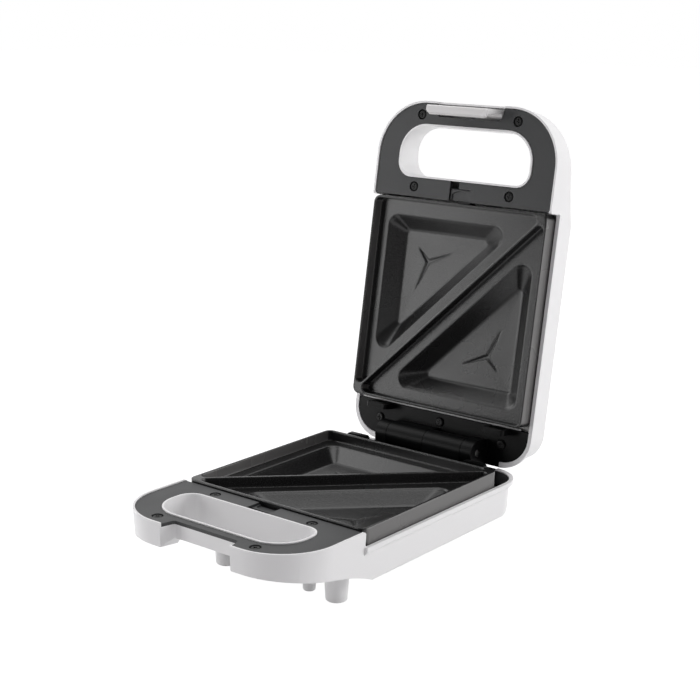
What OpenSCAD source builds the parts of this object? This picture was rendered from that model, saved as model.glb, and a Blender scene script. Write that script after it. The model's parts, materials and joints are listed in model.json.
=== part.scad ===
// Sandwich toaster, drawn open as it stands on a table.
// Each half is drawn once with its parting plane at z = 0, its plate edge at y = 0 and
// its belly below. The upper half is the same half turned over and swung up on the hinge.

/* [Cooking plates] */
// Width of a cooking plate
plate_w = 130; // [124:0.5:136]
// Length of a cooking plate, handle side to hinge side
plate_l = 131; // [125:0.5:137]
// Outside corner radius of a cooking plate
plate_corner_r = 4.5; // [3:0.5:6]
// Thickness of the raised rim
rim_t = 1.4; // [1:0.1:2]
// Drop from the rim to the land round the pockets
land_drop = 6.6; // [5.5:0.1:7]
// Height of the plate's outer side
skirt_h = 11.45; // [11.2:0.05:12]
// Thickness of the casting's outer side below the land
skirt_t = 2; // [1.6:0.1:2.4]
// Thickness of the casting
cast_t = 2.5; // [2:0.1:2.6]
// Thickness of the wall that parts the two halves of the bread
divider_t = 1.5; // [1.2:0.1:2.5]
// Radius of the land's square corner
tray_corner_r = 3.2; // [2:0.1:5]
// Radius of the land's two sharp corners
tray_end_r = 3.5; // [2.5:0.1:4.5]
// Width of the land beside a pocket
land_side = 8; // [6:0.2:10]
// Width of the land at the handle end
land_front = 9.6; // [7:0.2:12]
// Width of the land at the hinge end
land_rear = 7.4; // [7:0.2:12]
// Distance from the divider's middle to a pocket
land_diag = 9; // [7:0.2:12]
// Drop from the land to the pocket floor
pocket_drop = 8.4; // [6:0.1:8.6]
// Width of the pocket's sloping wall, seen from above
pocket_slope = 6.5; // [4:0.1:9]
// Radius of the pocket's corners at the land
pocket_corner_r = 7; // [5:0.5:9]
// Radius of the pocket's corners at its floor
pocket_floor_r = 5; // [4.5:0.1:7]
// Radius between the pocket's wall and its floor
pocket_fillet = 4; // [2:0.1:4.4]
// Rounding where the land rolls into the pocket
pocket_roll = 0.9; // [0.4:0.1:1.4]
// Length of the star's arm to the square corner
star_short = 12; // [8:0.5:14]
// Length of the star's other two arms
star_long = 20; // [14:0.5:22]
// Width of a star arm at the middle
star_w = 2.6; // [1.6:0.1:4]
// Depth of the star's groove
star_drop = 0.8; // [0.4:0.1:1.2]
// Gap between the two rims when shut
plate_gap = 0.3; // [0.2:0.1:0.8]
// Half length of a catch lug on the plate's edge
lug_half = 6; // [4:0.5:7]
// Reach of a catch lug
lug_reach = 1.3; // [1:0.1:1.5]
// Thickness of a catch lug
lug_t = 2; // [1.5:0.1:2.2]
// Drop from the rim to the top of a catch lug
lug_drop = 9.05; // [8.8:0.05:9.2]

/* [Shells] */
// Depth of a shell from the parting plane to its belly
shell_depth = 33; // [32.5:0.1:38]
// Wall of a shell
wall_t = 2.2; // [1.8:0.1:2.4]
// Draft of the outer walls in degrees
draft = 3.5; // [2:0.25:4]
// Radius of the belly's edge
belly_r = 4; // [3:0.25:6]
// Gap between a plate's side and the lip
side_gap = 0.8; // [0.6:0.1:1.2]
// Width of the handle rim's face beside the cover
rim_face_t = 1.3; // [1.2:0.1:2]
// Width of the lip's face beside the plate
lip_t = 2.4; // [2.2:0.1:3]
// Width of the lip's face at the hinge end
lip_rear_t = 3.5; // [3:0.1:4]
// Distance that the lip stands out of the side wall
lip_out = 1.2; // [0.8:0.1:1.6]
// Distance that the lip stands out of the rear wall
lip_rear_out = 2.5; // [2:0.1:3]
// Height of the lip's outer face
lip_h = 2.5; // [1.5:0.1:3]
// Height over which the lip slopes back to the wall
lip_slope_h = 2.6; // [2:0.1:4]
// Drop from the parting plane to the lip's face
lip_drop = 9.6; // [9.4:0.05:9.8]
// Drop from the lip's face to the ledge inside it
ledge_drop = 2.8; // [2.6:0.1:3]
// Length behind the plate, to the lip's rear face
rear_l = 28.3; // [28:0.1:32]
// Outside corner radius at the hinge end
rear_r = 21; // [16:0.5:24]
// Length of the handle in front of the plate
handle_l = 62.5; // [60:0.5:70]
// Corner radius of the handle
front_r = 35; // [30:0.5:38]
// Drop from the parting plane to the handle's rim
rim_drop = 0.7; // [0.5:0.1:1]
// Depth of the handle at its front
handle_h = 14.8; // [14:0.1:16]
// Distance behind the plate's edge where the handle meets the belly
belly_start = 15; // [13:0.5:20]
// Distance in front of the plate where the handle's underside begins to drop
sweep_far = 30; // [26:0.5:34]
// Drop of the underside there, below the handle's front
sweep_drop = 4.5; // [3:0.1:6]
// Distance in front of the plate where the underside is steepest
sweep_near = 8; // [6:0.5:12]
// Height of the underside above the belly there
sweep_rise = 9.57; // [8:0.01:11]
// Radius at the top of the step beside the plate
step_top_r = 2; // [1:0.1:2.2]
// Radius at the foot of the step beside the plate
step_foot_r = 1.5; // [1:0.1:2]
// Gap from the handle's block back to the plate's edge
step_gap = 0.5; // [0.3:0.1:0.8]

/* [Handle opening and cover] */
// Half width of the opening for the hand
opening_half = 48.3; // [44:0.1:50]
// Distance from the plate's edge to the near side of the opening
opening_near = 15; // [14.8:0.1:16]
// Width of the bar in front of the opening
front_bar = 15.8; // [15.8:0.1:18]
// Opening's corner radius at the front
opening_front_r = 18; // [8:0.5:19]
// Opening's corner radius at the plate
opening_rear_r = 9; // [5:0.5:10]
// Wall round the opening
opening_wall = 1.2; // [1.1:0.1:1.8]
// Thickness of the handle cover
cover_t = 2; // [1.6:0.1:2.4]
// Drop from the handle's rim to the cover
cover_drop = 0.6; // [0.3:0.1:1]
// Gap round the cover
cover_gap = 0.15; // [0.1:0.05:0.2]
// Gap from the cover to the plate's edge
cover_rear_gap = 1.5; // [1.4:0.1:2]
// Distance from the plate's edge to the rear cover screws
screw_near = 7.9; // [7.8:0.1:8.2]
// Distance from the handle's front to the front cover screws
screw_in = 8.8; // [8.5:0.1:9]
// Half the distance between left and right cover screws
screw_half = 35.7; // [34:0.5:38]
// Radius of a screw cup under the cover
cup_r = 4.1; // [3.9:0.1:4.1]
// Depth of a screw cup below the cover
cup_drop = 1.6; // [1.5:0.1:3]
// Radius of the recess for a screw head
recess_r = 3.3; // [3.1:0.1:3.4]
// Depth of the recess for a screw head
recess_drop = 1.9; // [1.7:0.1:2.2]
// Width of the rib between the handle and the plate
cross_rib_t = 1.5; // [1.2:0.1:1.5]

/* [Screws] */
// Radius of a screw head
head_r = 2.8; // [2.4:0.1:2.9]
// Height of a screw head
head_h = 1.6; // [1.2:0.1:1.9]
// Radius of a screw's shank
shank_r = 1.5; // [1.2:0.1:1.6]
// Length of a screw's shank
shank_l = 8; // [7:0.5:9]
// Length of the shank of a screw in a reflector
pan_shank_l = 5; // [4:0.5:5]
// Gap below a screw's tip
tip_gap = 0.8; // [0.5:0.1:1]
// Gap round a shank in its boss
shank_gap = 0.03; // [0.02:0.01:0.1]
// Gap round a shank in the piece that the screw holds
shank_hole_gap = 0.2; // [0.1:0.05:0.4]
// Radius of a screw boss
boss_r = 3.6; // [3.2:0.1:3.8]

/* [Hinge] */
// Radius of the hinge barrel
barrel_r = 8; // [7:0.1:8.2]
// Distance from the barrel's axis to the lip's rear face
hinge_inset = 7.8; // [7.5:0.1:8.5]
// Half length of the barrel
barrel_half = 37; // [34:0.5:40]
// Distance from the middle to the joint between the outer knuckles
knuckle_split = 28.5; // [22:0.5:30]
// Gap between two knuckles
knuckle_gap = 0.3; // [0.2:0.05:0.6]
// Radius of the hinge pin
pin_r = 2.5; // [2:0.1:3.5]
// Gap round the pin
pin_gap = 0.04; // [0.02:0.01:0.1]
// Angle of the open lid from shut
open_angle = 99; // [60:1:100]
// Thickness of the rear frame
frame_t = 2.2; // [1.8:0.1:2.4]
// Half width of the frame's tongue under the hinge
tongue_half = 47.3; // [44:0.1:48]
// Length of the tongue inside the lip
tongue_in = 5.5; // [4:0.5:7]
// Drop from the ledge to the tongue's foot
tongue_sink = 1; // [0.6:0.1:1.4]
// Distance from the plate's rear edge to the frame
frame_gap = 3.2; // [3:0.1:4]
// Gap from the frame to the lip
frame_side_gap = 0.2; // [0.1:0.05:0.3]
// Inner end of a stop post behind the plate
post_near = 37; // [34:0.5:40]
// Length of a stop post
post_l = 16; // [12:0.5:17]
// Thickness of a stop post
post_t = 3.4; // [2.5:0.1:3.6]
// Distance from the frame's front edge to a stop post
post_back = 0.3; // [0.1:0.1:0.5]
// Drop from the parting plane to the top of a stop post
post_top = 0.4; // [0.3:0.1:1]
// Half the distance between the outer frame screws
frame_screw_half = 47; // [45:0.5:49]
// Distance from the plate's rear edge to the outer frame screws
frame_screw_far = 14; // [13:0.2:15]
// Distance from the plate's rear edge to the middle frame screw
frame_screw_near = 8.7; // [8.4:0.1:9]

/* [Latch] */
// Half length of the latch
latch_half = 22.8; // [18:0.2:22.8]
// Half width of the latch bay at its back
bay_half = 23.4; // [23.4:0.1:24.5]
// Half width of the latch bay at the front face
bay_front_half = 25.6; // [25:0.1:26]
// Depth of the bay from the handle's front to its back wall
bay_depth = 9.5; // [9.4:0.1:9.6]
// Wall of the bay
bay_wall = 1.5; // [1.2:0.1:1.5]
// Height of the bay in the upper handle
bay_h = 10; // [9.8:0.1:10.4]
// Wall between the upper bay and the front of the handle
bay_front_t = 1.4; // [1.2:0.1:1.5]
// Depth of the notch in that wall
bay_notch = 3.5; // [3.4:0.1:4]
// Drop from the parting plane to the bar that the hook grips
bar_drop = 11.3; // [11:0.1:11.6]
// Thickness of the hook
hook_t = 2; // [1.6:0.1:2.4]
// Gap between the hook and the bar when latched
hook_gap = 0.3; // [0.2:0.1:0.6]
// Reach of the hook under the bar
hook_reach = 1.4; // [1.2:0.1:1.5]
// Height of the latch's pivot above the parting plane
pivot_h = 5.5; // [5.3:0.1:5.6]
// Distance from the bay's back wall to the pivot
pivot_out = 3.9; // [3.8:0.1:4]
// Radius of the latch's pivot barrel
pivot_barrel_r = 2.6; // [2.4:0.1:2.7]
// Radius of the latch's pin
latch_pin_r = 1.25; // [1:0.05:1.5]
// Gap round the latch's pin in the latch
latch_pin_gap = 0.05; // [0.03:0.01:0.1]
// Gap round the latch's pin in the handle
latch_pin_fit = 0.02; // [0.01:0.01:0.05]
// Thickness of the latch's plate
latch_t = 2.3; // [2:0.1:2.5]
// Angle of the latch at rest, outward from latched
latch_rest = 5.6; // [5.5:0.1:7]

/* [Plate release] */
// Half width of the release's slot in the cover
slot_half = 8; // [7:0.1:8.5]
// Gap at each side of the release
slot_gap = 0.6; // [0.25:0.05:0.7]
// Distance from the plate's edge to the release's front
release_far = 9.2; // [9:0.1:9.4]
// Drop from the cover's face to the release
release_drop = 1.1; // [1:0.1:1.2]
// Thickness of the bridge over the release's travel
bridge_t = 0.8; // [0.6:0.1:0.8]
// Distance from the middle to the end of the bridge
bridge_end = 1.3; // [-1:0.1:3]
// Depth of the thumb dish in the release
dish_drop = 0.8; // [0.4:0.1:1]
// Thickness of the release's top
release_t = 2; // [1.6:0.1:2.2]
// Width of a side flange
flange_w = 2; // [1.6:0.1:2.4]
// Half width of the release's nose
nose_half = 5; // [4:0.1:6]
// Gap from the nose to the plate's edge
nose_gap = 0.25; // [0.2:0.05:0.4]
// Height of the nose
nose_h = 2.2; // [1.8:0.1:2.6]

/* [Heating] */
// Thickness of the reflector's sheet
sheet_t = 0.8; // [0.6:0.1:0.8]
// Distance from the plate's side to the reflector's pan
pan_side = 5; // [4.8:0.2:6]
// Distance from the plate's end to the reflector's pan
pan_end = 6; // [5:0.2:7]
// Distance from the plate's middle to the reflector's front screw
pan_screw_front = 18; // [16:0.5:20]
// Distance from the plate's middle to the reflector's rear screw
pan_screw_rear = 22; // [16:0.5:23]
// Corner radius of the pan
pan_r = 8; // [6:0.5:12]
// Radius of the heater's tube
heater_r = 3.2; // [2.8:0.1:3.2]
// Half width of the heater's loop
heater_half = 38; // [32:1:44]
// Distance from the plate's end to the heater's loop
heater_end = 27; // [24:1:34]
// Radius of the heater's bends
heater_bend_r = 12; // [10:0.5:16]
// Half the distance between the heater's two ends
heater_tail_half = 12; // [12:0.5:16]
// Gap round the heater's ends where they leave the pan
heater_hole_gap = 0.15; // [0.1:0.05:0.4]
// Length of the heater's ends behind the plate
heater_tail = 4; // [3:0.5:5]
// Length of the pins on the heater's ends
heater_pin_l = 5; // [3:0.5:5]
// Radius of the pins on the heater's ends
heater_pin_r = 1.2; // [0.8:0.1:1.5]
// Gap between the pockets' undersides and the heater
heater_gap = 0.2; // [0.1:0.1:0.6]

/* [Feet, lamps and cord entry] */
// Height of the feet
foot_h = 16; // [12:0.5:20]
// Radius of a foot at the belly
foot_r = 7; // [6:0.25:8]
// Radius of a foot at the floor
foot_end_r = 6.25; // [5:0.25:7]
// Half the distance between the front feet
foot_half = 41.3; // [36:0.5:46]
// Half the distance between the rear feet
foot_rear_half = 34; // [30:0.5:44]
// Distance from the plate's edge to the front feet
foot_front = 7; // [6.5:0.5:12]
// Distance from the plate's rear edge to the rear feet
foot_rear = 1; // [0:0.5:8]
// Radius of a cord post
cord_post_r = 4.3; // [4:0.1:6]
// Radius of a cord post at the floor
cord_post_end_r = 3.7; // [3.4:0.1:5.4]
// Distance from the plate's front edge to the front cord posts
cord_post_front = 8; // [7.5:0.5:20]
// Distance from the plate's rear edge to the rear cord posts
cord_post_rear = 14; // [10:0.5:24]
// Half the distance between two cord posts
cord_post_half = 21; // [18:0.5:24]
// Radius of a lamp lens
lens_r = 4; // [3:0.25:5]
// Half the distance between the two lamp lenses
lens_half = 9; // [7:0.5:14]
// Distance from the plate's edge to the lamp lenses
lens_far = 26; // [24:1:40]
// Radius of the cord's hole
cord_r = 3.3; // [2.5:0.1:3.6]
// Distance from the middle to the cord entry
cord_left = 30; // [26:1:40]
// Drop from the parting plane to the cord entry
cord_drop = 22; // [21:0.5:23]
// Length of the cord's bend relief
relief_l = 20; // [14:1:26]

/* [Hidden] */
$fn = 64;
part_fn = 32;
shell_fn = 72;
over = 1;
far = 300;
curve_steps = 12;
edge_steps = 5;

plate_half = plate_w / 2;
plate_mid = plate_l / 2;
rim_top = plate_gap / 2;
land_z = rim_top + land_drop;
plate_foot = rim_top + skirt_h;
pocket_z = land_z + pocket_drop;
cast_foot = pocket_z + cast_t;
diag_angle = atan2(plate_l, plate_w);
roll_h = 1;
belly_ease = [[6, 1.2], [4.6, 0.5], [2.5, 0.25], [0, 0]];

well_half = plate_half + side_gap;
lip_half = well_half + lip_t;
wall_half = lip_half - lip_out;
lip_rear = plate_l + rear_l;
well_rear = lip_rear - lip_rear_t;
wall_rear = lip_rear - lip_rear_out;
well_r = rear_r - lip_rear_t;
wall_r = rear_r - (lip_out + lip_rear_out) / 2;
ledge_z = lip_drop + ledge_drop;
inner_floor = shell_depth - wall_t;

cover_z = rim_drop + cover_drop;
cover_foot = cover_z + cover_t;
cup_foot = cover_foot + cup_drop;
cover_seat = cover_z + recess_drop;
screw_far = handle_l - screw_in;
opening_far = handle_l - front_bar;
screw_places = [for (x = [-1, 1], y = [screw_near, screw_far]) [x * screw_half, -y]];

hinge_y = lip_rear - hinge_inset;
frame_z = ledge_z - frame_t;
frame_sink = 0.4;
frame_seat = frame_z + frame_sink;
frame_front = plate_l + frame_gap;
tongue_start = well_rear - tongue_in;
tongue_foot = ledge_z + tongue_sink;
post_y = frame_front + post_back;
frame_places = [
    [-frame_screw_half, plate_l + frame_screw_far],
    [0, plate_l + frame_screw_near],
    [frame_screw_half, plate_l + frame_screw_far]
];

bay_far = handle_l - bay_depth;
bay_r = 2;
bay_mouth_r = 4;
bay_run = 9;
bar_t = 2;
hook_top = bar_drop + hook_gap;
hook_foot = hook_top + hook_t;
pivot_y = -bay_far - pivot_out;
pivot_ear = 3;
ear_rim = 1;

slot_front = opening_near - opening_wall;
release_z = cover_z + release_drop;
slide_gap = 0.2;
flange_z = cover_foot + slide_gap;
flange_t = 1.5;
rail_z = flange_z + flange_t + 0.15;
rail_y = 7;
rail_l = 4.5;
gate_half = slot_half + flange_w + 2 * slide_gap;
web_near = 1.9;
web_far = 4.2;
nose_foot = lug_top() - slide_gap;
rib_front = cover_rear_gap + slide_gap + cross_rib_t;

flange_foot = plate_foot + sheet_t;
pan_half = plate_half - pan_side;
heater_z = cast_foot + heater_gap + heater_r;
pan_z = heater_z + heater_r;
pan_foot = pan_z + sheet_t;
pan_places = [[0, plate_mid - pan_screw_front], [0, plate_mid + pan_screw_rear]];
clip_places = [-45, 45];
clip_half = 6;

gland_r = cord_r + 2;
gland_neck = 0.5;
gland_gap = 0.1;
gland_flange = [2, 2];
lens_flange = [1.2, 1.5];
lens_proud = 0.4;
lens_gap = 0.1;
thermostat_x = 24;
thermostat_r = 7;
thermostat_base = [22, 10, 0.8];
thermostat_gap = 0.4;
block = [26, 11, 9];
block_x = 21;
block_far = 15;
block_pitch = 8;
block_hole = 4;
lens_places = [[-lens_half, lens_far], [lens_half, lens_far]];

floor_z = shell_depth + foot_h;
shut_turn = -open_angle;
lid_far = max([
    for (p = underside(0)) hinge_y + (p[0] - hinge_y) * cos(open_angle) - p[1] * sin(open_angle)
]);
base_front = rim_drop * tan(draft) - handle_l;
mid_y = (lid_far + base_front) / 2;

/* [Parts] */

// A point on a cubic curve through four control points
function cubic(p, t) =
    p[0] * pow(1 - t, 3) + p[1] * 3 * t * pow(1 - t, 2) + p[2] * 3 * t * t * (1 - t)
    + p[3] * pow(t, 3);

// Points on an arc about c from angle a to angle b
function arc(c, r, a, b, n) = [
    for (k = [0:n]) c + r * [cos(a + (b - a) * k / n), sin(a + (b - a) * k / n)]
];

// Directions from a corner to its two neighbours, and the corner's half angle
function unit(v) = v / norm(v);
function back_way(p, i) = unit(p[(i + len(p) - 1) % len(p)] - p[i]);
function next_way(p, i) = unit(p[(i + 1) % len(p)] - p[i]);
function half_angle(p, i) = acos(back_way(p, i) * next_way(p, i)) / 2;
function corner_centre(p, i, r) =
    p[i] + unit(back_way(p, i) + next_way(p, i)) * r / sin(half_angle(p, i));

function tangent(p, i, r, way) = p[i] + way * r / tan(half_angle(p, i));

// How finely a corner of radius r is drawn over an angle
function corner_steps(r, angle) = max(3, ceil(angle * sqrt(r) / 30));

// Points round one corner of an outline
function corner_arc(p, i, r) =
    let (
        c = corner_centre(p, i, r),
        from = tangent(p, i, r, back_way(p, i)) - c,
        turn = 180 - 2 * half_angle(p, i),
        start = atan2(from[1], from[0])
    )
    arc(c, r, start, start + turn, corner_steps(r, turn));

// A convex outline, drawn anticlockwise, with a radius at each corner
module soft_outline(p, r) {
    polygon([for (i = [0:len(p) - 1]) each corner_arc(p, i, r[i])]);
}

// A box-like outline, symmetric in x, with its own front and rear radii
module plan(half, front, rear, front_rad, rear_rad) {
    soft_outline(
        [[-half, front], [half, front], [half, rear], [-half, rear]],
        [front_rad, front_rad, rear_rad, rear_rad]
    );
}

// A shape standing between two depths below the parting plane
module layer(top, foot) {
    translate([0, 0, -foot]) linear_extrude(foot - top) children();
}

// A side profile drawn in y and z, drawn out evenly in x
module across(half) {
    translate([-half, 0, 0]) rotate([90, 0, 90]) linear_extrude(2 * half) children();
}

// Cooking plate

// The land's triangle in one half of the plate, measured from the plate's middle
function half_triangle(side, end, diag) =
    let (
        x = plate_half - side,
        y = -plate_mid + end,
        ax = (diag + y * cos(diag_angle)) / sin(diag_angle),
        by = (x * sin(diag_angle) - diag) / cos(diag_angle)
    )
    [[ax, y], [x, y], [x, by]];

// Outline of a pocket at the land, whose width at the end differs front and rear
function pocket_edge(end) = half_triangle(rim_t + land_side, rim_t + end, land_diag);

function inset(p, d) = [for (i = [0:len(p) - 1]) corner_centre(p, i, d)];

// The pocket's hollow, or with a wall its bulge under the casting
module pocket_form(edge, wall) {
    $fn = part_fn;
    floor_edge = inset(edge, pocket_slope);
    foot_z = pocket_z + wall;
    fillet = pocket_fillet + wall;
    foot_r = pocket_floor_r + wall;
    hull() {
        for (i = [0:2]) {
            translate(corner_centre(edge, i, pocket_corner_r))
                layer(land_z - roll_h, land_z) circle(pocket_corner_r + wall);
            translate(corner_centre(floor_edge, i, pocket_floor_r))
                rotate_extrude() polygon(concat(
                    arc([foot_r - fillet, fillet - foot_z], fillet, 270, 360, edge_steps),
                    [[0, fillet - foot_z], [0, -foot_z]]
                ));
        }
    }
}

// The rolled edge between land and pocket
module pocket_lip(edge) {
    $fn = part_fn;
    hull() {
        for (i = [0:2]) translate(corner_centre(edge, i, pocket_corner_r))
            translate([0, 0, -land_z - roll_h]) cylinder(
                h = 2 * roll_h, r1 = pocket_corner_r - pocket_roll,
                r2 = pocket_corner_r + pocket_roll
            );
    }
}

module star(edge) {
    middle = corner_centre(edge, 1, star_middle_r(edge));
    layer(pocket_z - over, pocket_z + star_drop) {
        for (i = [0:2]) {
            way = unit(edge[i] - middle);
            side = [-way[1], way[0]] * star_w / 2;
            long = i == 1 ? star_short : star_long;
            translate(middle) polygon([way * long, side, -way * star_w / 2, -side]);
        }
    }
}

// Radius of the circle that touches all three sides of the pocket
function star_middle_r(p) =
    abs((p[1][0] - p[0][0]) * (p[2][1] - p[1][1]))
    / (norm(p[1] - p[0]) + norm(p[2] - p[1]) + norm(p[0] - p[2]));

module plate_outline(set) {
    rad = max(plate_corner_r - set, 1);
    plan(plate_half - set, -plate_mid + set, plate_mid - set, rad, rad);
}

module catch_lug(x, y, way) {
    top = rim_top + lug_drop;
    layer(top, top + lug_t) {
        translate([x, y + way * (lug_reach - over) / 2])
            square([2 * lug_half, lug_reach + over], center = true);
    }
}

module cooking_plate() {
    edges = [pocket_edge(land_front), pocket_edge(land_rear)];
    translate([0, plate_mid, 0]) difference() {
        union() {
            difference() {
                layer(rim_top, plate_foot) plate_outline(0);
                layer(land_z + cast_t, plate_foot + over) plate_outline(skirt_t);
            }
            for (k = [0, 1]) rotate(180 * k) pocket_form(edges[k], cast_t);
            catch_lug(0, -plate_mid, -1);
            for (x = clip_places) catch_lug(x, plate_mid, 1);
        }
        for (k = [0, 1]) rotate(180 * k) {
            layer(rim_top - over, land_z) soft_outline(
                half_triangle(rim_t, rim_t, divider_t / 2),
                [tray_end_r, tray_corner_r, tray_end_r]
            );
            pocket_form(edges[k], 0);
            pocket_lip(edges[k]);
            star(edges[k]);
        }
    }
}

// Shell

// One upright corner of a drafted body, with a rounded foot
module corner_post(r, depth, edge, lean) {
    foot_r = r - (depth - edge) * tan(lean);
    rotate_extrude() polygon(concat(
        [[0, over], [r + over * tan(lean), over]],
        arc([foot_r - edge, edge - depth], edge, 0, -90, edge_steps),
        [[0, -depth]]
    ));
}

// The drafted body with its rounded belly edge, set in by a wall
module shell_form(set) {
    $fn = shell_fn;
    hull() {
        for (x = [-1, 1]) {
            translate([x * (wall_half - front_r), front_r - handle_l, 0])
                corner_post(front_r - set, shell_depth - set, belly_r - set, draft);
            translate([x * (wall_half - wall_r), wall_rear - wall_r, 0])
                corner_post(wall_r - set, shell_depth - set, belly_r - set, draft);
        }
    }
}

// Points that ease the underside into the belly
function belly_point(i, lift) =
    [belly_start - belly_ease[i][0], lift - shell_depth + belly_ease[i][1]];

// The handle's underside from its front edge down to the belly
function underside(lift) = concat(
    [for (k = [0:curve_steps]) cubic([
        [-handle_l, lift - handle_h],
        [-sweep_far, lift - handle_h - sweep_drop],
        [-sweep_near, lift - shell_depth + sweep_rise],
        belly_point(0, lift)
    ], k / curve_steps)],
    [for (k = [1:edge_steps]) cubic([
        belly_point(0, lift), belly_point(1, lift), belly_point(2, lift), belly_point(3, lift)
    ], k / edge_steps)]
);

function back_to_front(p) = [for (k = [1:len(p)]) p[len(p) - k]];

// Side profile of the outside: handle rim, step down beside the plate, long lip face
module outer_profile() {
    polygon(concat(
        [[-handle_l - far, -rim_drop]],
        arc([-step_gap - step_top_r, -rim_drop - step_top_r], step_top_r, 90, 0, edge_steps),
        arc(
            [-step_gap + step_foot_r, -lip_drop + step_foot_r], step_foot_r, 180, 270,
            edge_steps
        ),
        [[far, -lip_drop], [far, -far], [belly_start + 2, -far]],
        [[belly_start + 2, -shell_depth - 0.2]],
        back_to_front(underside(0)),
        [[-handle_l - far, -handle_h + 1]]
    ));
}

module inner_profile() {
    polygon(concat(
        [[-far, over], [far, over], [far, -far], [belly_start + 2, -far]],
        [[belly_start + 2, -inner_floor - 0.2]],
        back_to_front(underside(wall_t)),
        [[-far, wall_t - handle_h + 1]]
    ));
}

// The lip that stands out round the plate and slopes back to the wall
module lip_form() {
    $fn = shell_fn;
    root = 1;
    back = lip_out + root;
    intersection() {
        hull() {
            for (x = [-1, 1], y = [0, lip_rear - rear_r])
                translate([x * (lip_half - rear_r), y, 0]) rotate_extrude() polygon([
                    [0, -lip_drop], [rear_r, -lip_drop], [rear_r, -lip_drop - lip_h],
                    [rear_r - back, -lip_drop - lip_h - lip_slope_h],
                    [0, -lip_drop - lip_h - lip_slope_h]
                ]);
        }
        translate([-far, -step_gap - 0.3, -far]) cube([2 * far, far, 2 * far]);
    }
}

module opening_plan(grow) {
    plan(
        opening_half + grow, -opening_far - grow, -opening_near + grow,
        opening_front_r + grow, opening_rear_r + grow
    );
}

// Outside of the handle cover, which sits in a step inside the handle's rim
module cover_plan(grow) {
    set = rim_face_t + cover_gap - grow;
    plan(wall_half - set, set - handle_l, grow - cover_rear_gap, front_r - set, 1.5);
}

module bay_plan(grow) {
    front = bay_front_half + grow;
    back = bay_half + grow;
    y = -bay_far + grow;
    mouth = -handle_l - bay_run;
    soft_outline(
        [[-front, mouth], [front, mouth], [front, -handle_l], [back, y], [-back, y],
            [-front, -handle_l]],
        [1, 1, bay_mouth_r, bay_r + grow, bay_r + grow, bay_mouth_r]
    );
}

// The upper bay behind the front wall
module bay_inside() {
    intersection() {
        bay_plan(0);
        translate([-far, bay_front_t - handle_l]) square(2 * far);
    }
}

// Two ears under the cover that hold the latch's pin
module pivot_ears() {
    for (x = [-1, 1]) layer(cover_foot, far)
        translate([x * (bay_front_half + pivot_ear / 2), pivot_y])
        square([pivot_ear, 2 * (pivot_barrel_r + ear_rim)], center = true);
}

// The raised underside of the bar that the hook grips
module bar_notch(grow) {
    into_wall = 0.9;
    slope = [4, 6];
    half = bay_half + grow;
    wide = half + slope[0];
    top = grow - bar_drop;
    foot = -handle_h - bay_run;
    translate([0, -opening_far + grow + into_wall, 0]) rotate([90, 0, 0])
        linear_extrude(handle_l) polygon([
            [-half, top], [half, top], [wide, top - slope[1]], [wide, foot], [-wide, foot],
            [-wide, top - slope[1]]
        ]);
}

module at_places(places) {
    for (p = places) translate([p[0], p[1], 0]) children();
}

module boss(top) {
    layer(top, inner_floor + 1) circle(boss_r);
}

// Everything that stands inside the shell and stays when it is hollowed
module inner_walls() {
    layer(rim_drop, far) opening_plan(opening_wall);
    at_places(screw_places) boss(cup_foot);
    at_places(frame_places) boss(ledge_z);
    at_places(pan_places) boss(pan_foot);
    layer(cover_foot, far) translate([-wall_half, -rib_front])
        square([2 * wall_half, cross_rib_t]);
    for (x = [-1, 1]) layer(rail_z, far) translate([x * (slot_half + flange_w / 2), -rail_y])
        square([flange_w, rail_l], center = true);
}

module screw_hole(top, tip) {
    layer(top - over, tip + tip_gap) circle(shank_r + shank_gap);
}

// One shell without what makes it lower or upper; added and cut are given as children 0 and 1
module shell_half() {
    difference() {
        union() {
            intersection() {
                shell_form(0);
                across(far) outer_profile();
            }
            lip_form();
            children(0);
        }
        difference() {
            union() {
                intersection() {
                    shell_form(wall_t);
                    across(far) inner_profile();
                }
                layer(-over, cover_foot) cover_plan(cover_gap);
            }
            inner_walls();
            children(1);
        }
        layer(-over, ledge_z) plan(well_half, -step_gap, well_rear, 0.5, well_r);
        layer(-over, far) opening_plan(0);
        layer(lip_drop - over, tongue_foot)
            translate([-tongue_half - frame_side_gap, tongue_start])
            square([2 * (tongue_half + frame_side_gap), far]);
        layer(-over, nose_foot + 4 * slide_gap)
            translate([-gate_half, -rib_front - over])
            square([2 * gate_half, cross_rib_t + 2 * over]);
        at_places(screw_places) screw_hole(cup_foot, cover_seat + shank_l);
        at_places(frame_places) screw_hole(ledge_z, frame_seat + shank_l);
        at_places(pan_places) screw_hole(pan_foot, pan_z + pan_shank_l);
        children(2);
    }
}

module foot(r, end_r) {
    edge = 1.5;
    root = 8;
    rotate_extrude() polygon(concat(
        [[0, -floor_z]],
        arc([end_r - edge, -floor_z + edge], edge, 270, 360, edge_steps),
        [[r, -shell_depth], [r, -shell_depth + root], [0, -shell_depth + root]]
    ));
}

module feet() {
    for (x = [-1, 1]) {
        translate([x * foot_half, foot_front, 0]) foot(foot_r, foot_end_r);
        translate([x * foot_rear_half, plate_l + foot_rear, 0]) foot(foot_r, foot_end_r);
        for (y = [cord_post_front, plate_l - cord_post_rear])
            translate([x * cord_post_half, y, 0]) foot(cord_post_r, cord_post_end_r);
    }
}

module shell_lower_half() {
    shell_half() {
        feet();
        union() {
            layer(cover_foot, far) bay_plan(bay_wall);
            bar_notch(bar_t);
        }
        union() {
            bar_notch(0);
            layer(-over, far) bay_plan(0);
            cord_entry() translate([0, 0, -wall_t * 2]) cylinder(h = wall_t * 4, r = gland_r);
        }
    }
}

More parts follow.
